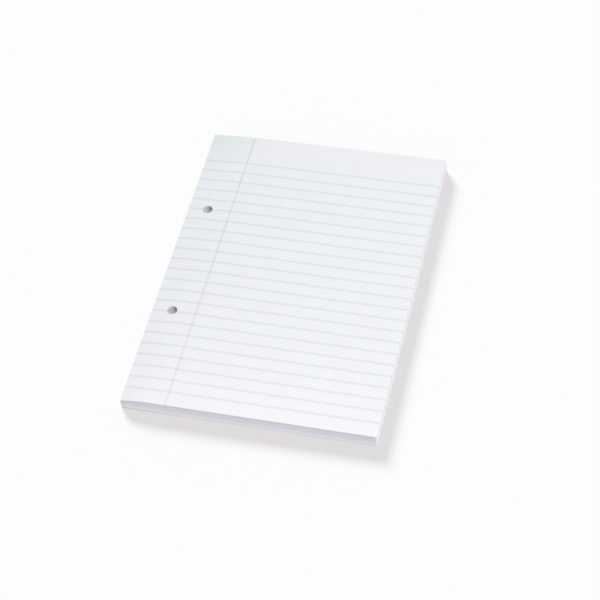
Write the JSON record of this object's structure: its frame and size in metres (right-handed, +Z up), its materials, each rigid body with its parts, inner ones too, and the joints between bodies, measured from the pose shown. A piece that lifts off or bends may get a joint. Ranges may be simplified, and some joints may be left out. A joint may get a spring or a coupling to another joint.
{
  "type": "writing pad",
  "caption": "Ruled A5 writing pad: a block of white leaves glued at the side on a board back, with a margin line and punched filing holes.",
  "frame": {"origin": "middle of the pad's footprint, on the underside of the backing board", "axes": "+X from the glued spine to the fore edge, +Y from the foot to the head of the page, +Z up out of the ruled page"},
  "size_m": [0.1484, 0.21, 0.0089],
  "materials": {
    "paper": "matte",
    "ruling_ink": "matte",
    "grey_card": "matte",
    "padding_glue": "satin"
  },
  "bodies": {
    "root": {"ruled_sheets": "paper", "ruling": "ruling_ink", "backing_board": "grey_card", "spine_glue": "padding_glue"}
  },
  "joints": []
}
